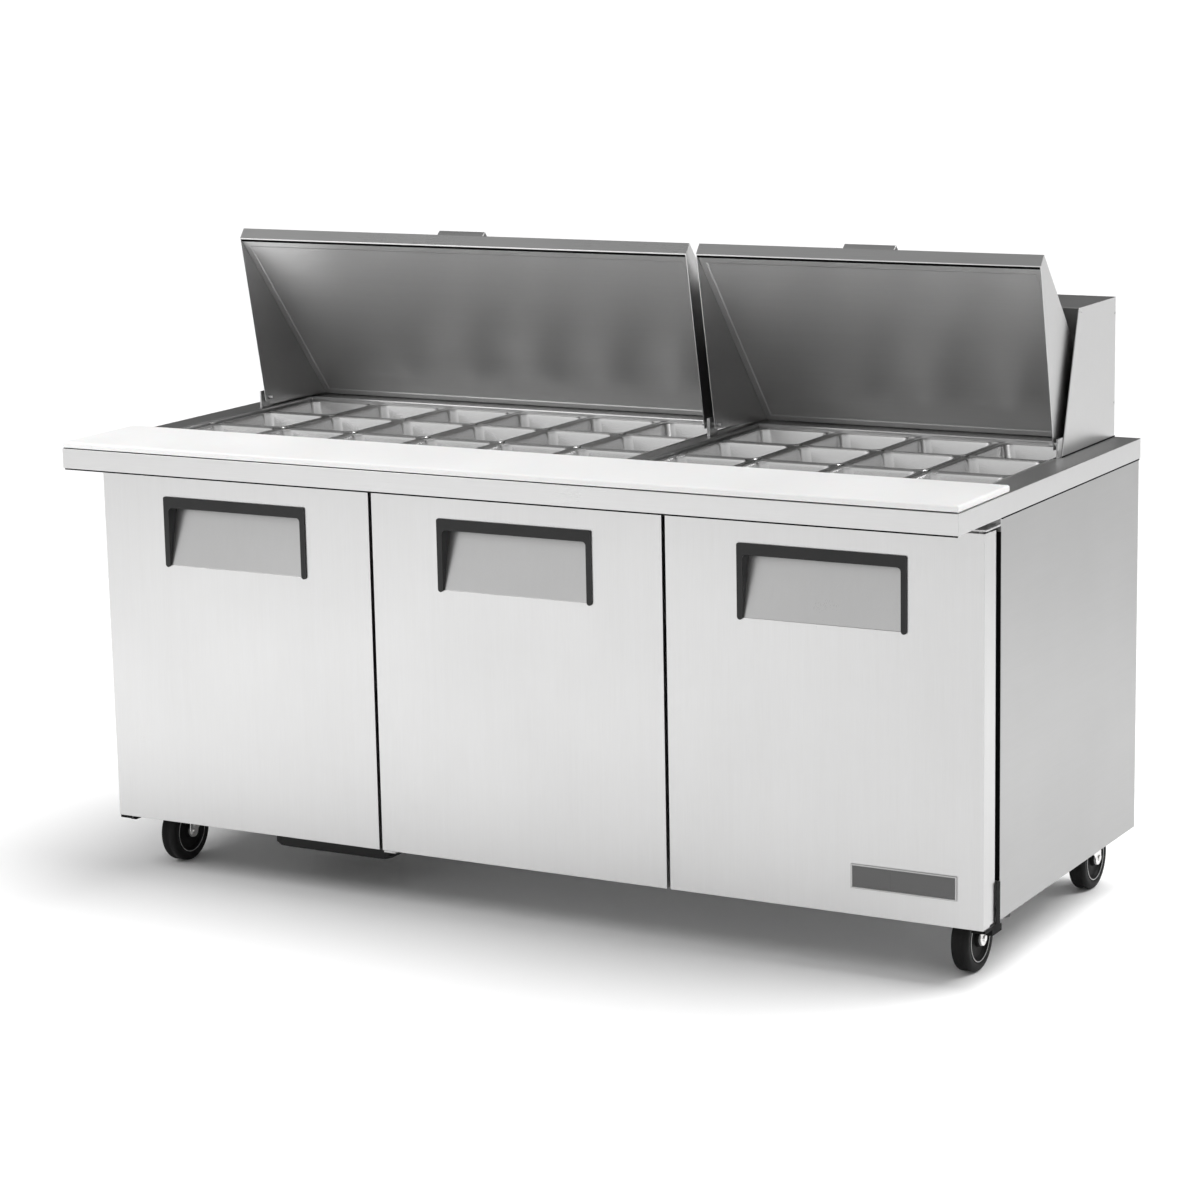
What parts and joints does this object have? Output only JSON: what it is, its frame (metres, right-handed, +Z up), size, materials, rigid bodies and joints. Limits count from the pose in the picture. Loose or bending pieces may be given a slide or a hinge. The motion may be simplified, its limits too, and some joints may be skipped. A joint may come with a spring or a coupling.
{
  "type": "sandwich prep table",
  "caption": "Refrigerated sandwich prep table: insulated cabinet with hinged doors, shelves and casters, pan wells under tilting lids, and a full-width cutting board.",
  "frame": {"origin": "on the floor under the middle of the counter", "axes": "+X along the counter towards the right-hand end, -Y towards the user at the doors, +Z up"},
  "size_m": [1.838, 0.867, 1.2386],
  "materials": {
    "brushed_steel": "satin",
    "dark_steel": "satin",
    "galvanised": "satin",
    "zinc": "satin",
    "aluminium": "satin",
    "copper": "satin",
    "black_plastic": "satin",
    "black_rubber": "matte",
    "black_paint": "satin",
    "white_board": "satin",
    "white_liner": "satin",
    "silver_plate": "satin"
  },
  "bodies": {
    "cabinet": {"left_side_panel": "brushed_steel", "right_side_panel": "brushed_steel", "front_frame": "brushed_steel", "countertop": "brushed_steel", "counter_bridge": "brushed_steel", "pan_frame_left": "brushed_steel", "pan_frame_right": "brushed_steel", "hood_shell": "brushed_steel", "base_panel": "galvanised", "rear_panel": "galvanised", "rear_grille": "galvanised", "interior_liner": "white_liner", "cutting_board": "white_board", "shelf_left": "zinc", "shelf_middle": "zinc", "shelf_right": "zinc", "lid_pivot_left": "zinc", "lid_pivot_centre": "zinc", "lid_pivot_right": "zinc", "hinge_top_left": "zinc", "hinge_bottom_left": "zinc", "hinge_top_middle": "zinc", "hinge_bottom_middle": "zinc", "hinge_top_right": "zinc", "hinge_bottom_right": "zinc", "evaporator_coil": "aluminium", "condenser_coil": "copper", "compressor": "black_paint", "condensate_tray": "black_plastic"},
    "left_door": {"door_left": "brushed_steel", "door_left_liner": "white_liner", "door_left_gasket": "black_rubber", "door_left_handle": "black_plastic"},
    "middle_door": {"door_middle": "brushed_steel", "door_middle_liner": "white_liner", "door_middle_gasket": "black_rubber", "door_middle_handle": "black_plastic"},
    "right_door": {"door_right": "brushed_steel", "door_right_liner": "white_liner", "door_right_gasket": "black_rubber", "door_right_handle": "black_plastic", "name_plate": "silver_plate"},
    "left_lid": {"lid_left": "brushed_steel", "lid_left_liner": "dark_steel", "lid_left_handle": "brushed_steel"},
    "right_lid": {"lid_right": "brushed_steel", "lid_right_liner": "dark_steel", "lid_right_handle": "brushed_steel"},
    "front_left_swivel": {"caster_front_left_fork": "zinc"},
    "front_left_wheel": {"caster_front_left_wheel": "black_rubber"},
    "front_left_pedal": {"caster_front_left_brake_pedal": "black_plastic"},
    "front_right_swivel": {"caster_front_right_fork": "zinc"},
    "front_right_wheel": {"caster_front_right_wheel": "black_rubber"},
    "front_right_pedal": {"caster_front_right_brake_pedal": "black_plastic"},
    "rear_left_swivel": {"caster_rear_left_fork": "zinc"},
    "rear_left_wheel": {"caster_rear_left_wheel": "black_rubber"},
    "rear_right_swivel": {"caster_rear_right_fork": "zinc"},
    "rear_right_wheel": {"caster_rear_right_wheel": "black_rubber"},
    "evaporator_rotor": {"evaporator_fan": "aluminium"},
    "condenser_rotor": {"condenser_fan": "aluminium"}
  },
  "joints": [
    {"name": "left_door_hinge", "type": "hinge", "parent": "cabinet", "child": "left_door", "pos_m": [-0.904, -0.3025, 0.45], "axis": [0, 0, -1], "range_deg": [0, 100]},
    {"name": "middle_door_hinge", "type": "hinge", "parent": "cabinet", "child": "middle_door", "pos_m": [-0.291, -0.3025, 0.45], "axis": [0, 0, -1], "range_deg": [0, 100]},
    {"name": "right_door_hinge", "type": "hinge", "parent": "cabinet", "child": "right_door", "pos_m": [0.904, -0.3025, 0.45], "axis": [0, 0, 1], "range_deg": [0, 100]},
    {"name": "left_lid_hinge", "type": "hinge", "parent": "cabinet", "child": "left_lid", "pos_m": [-0.352, 0.1665, 0.882], "axis": [1, 0, 0], "range_deg": [0, 79.5]},
    {"name": "right_lid_hinge", "type": "hinge", "parent": "cabinet", "child": "right_lid", "pos_m": [0.513, 0.1665, 0.882], "axis": [1, 0, 0], "range_deg": [0, 79.5]},
    {"name": "front_left_swivel_joint", "type": "hinge", "parent": "cabinet", "child": "front_left_swivel", "pos_m": [-0.846, -0.1685, 0.15], "axis": [0, 0, 1], "continuous": true},
    {"name": "front_left_wheel_spin", "type": "hinge", "parent": "front_left_swivel", "child": "front_left_wheel", "pos_m": [-0.846, -0.1965, 0.061], "axis": [1, 0, 0], "continuous": true},
    {"name": "front_left_brake", "type": "hinge", "parent": "front_left_swivel", "child": "front_left_pedal", "pos_m": [-0.846, -0.1645, 0.098], "axis": [-1, 0, 0], "range_deg": [0, 18]},
    {"name": "front_right_swivel_joint", "type": "hinge", "parent": "cabinet", "child": "front_right_swivel", "pos_m": [0.846, -0.1685, 0.15], "axis": [0, 0, 1], "continuous": true},
    {"name": "front_right_wheel_spin", "type": "hinge", "parent": "front_right_swivel", "child": "front_right_wheel", "pos_m": [0.846, -0.1965, 0.061], "axis": [1, 0, 0], "continuous": true},
    {"name": "front_right_brake", "type": "hinge", "parent": "front_right_swivel", "child": "front_right_pedal", "pos_m": [0.846, -0.1645, 0.098], "axis": [-1, 0, 0], "range_deg": [0, 18]},
    {"name": "rear_left_swivel_joint", "type": "hinge", "parent": "cabinet", "child": "rear_left_swivel", "pos_m": [-0.846, 0.3415, 0.15], "axis": [0, 0, 1], "continuous": true},
    {"name": "rear_left_wheel_spin", "type": "hinge", "parent": "rear_left_swivel", "child": "rear_left_wheel", "pos_m": [-0.846, 0.3695, 0.061], "axis": [1, 0, 0], "continuous": true},
    {"name": "rear_right_swivel_joint", "type": "hinge", "parent": "cabinet", "child": "rear_right_swivel", "pos_m": [0.846, 0.3415, 0.15], "axis": [0, 0, 1], "continuous": true},
    {"name": "rear_right_wheel_spin", "type": "hinge", "parent": "rear_right_swivel", "child": "rear_right_wheel", "pos_m": [0.846, 0.3695, 0.061], "axis": [1, 0, 0], "continuous": true},
    {"name": "evaporator_fan_spin", "type": "hinge", "parent": "cabinet", "child": "evaporator_rotor", "pos_m": [0, 0.2, 0.503], "axis": [0, 1, 0], "continuous": true},
    {"name": "condenser_fan_spin", "type": "hinge", "parent": "cabinet", "child": "condenser_rotor", "pos_m": [0.05, 0.345, 0.29], "axis": [0, 1, 0], "continuous": true}
  ]
}
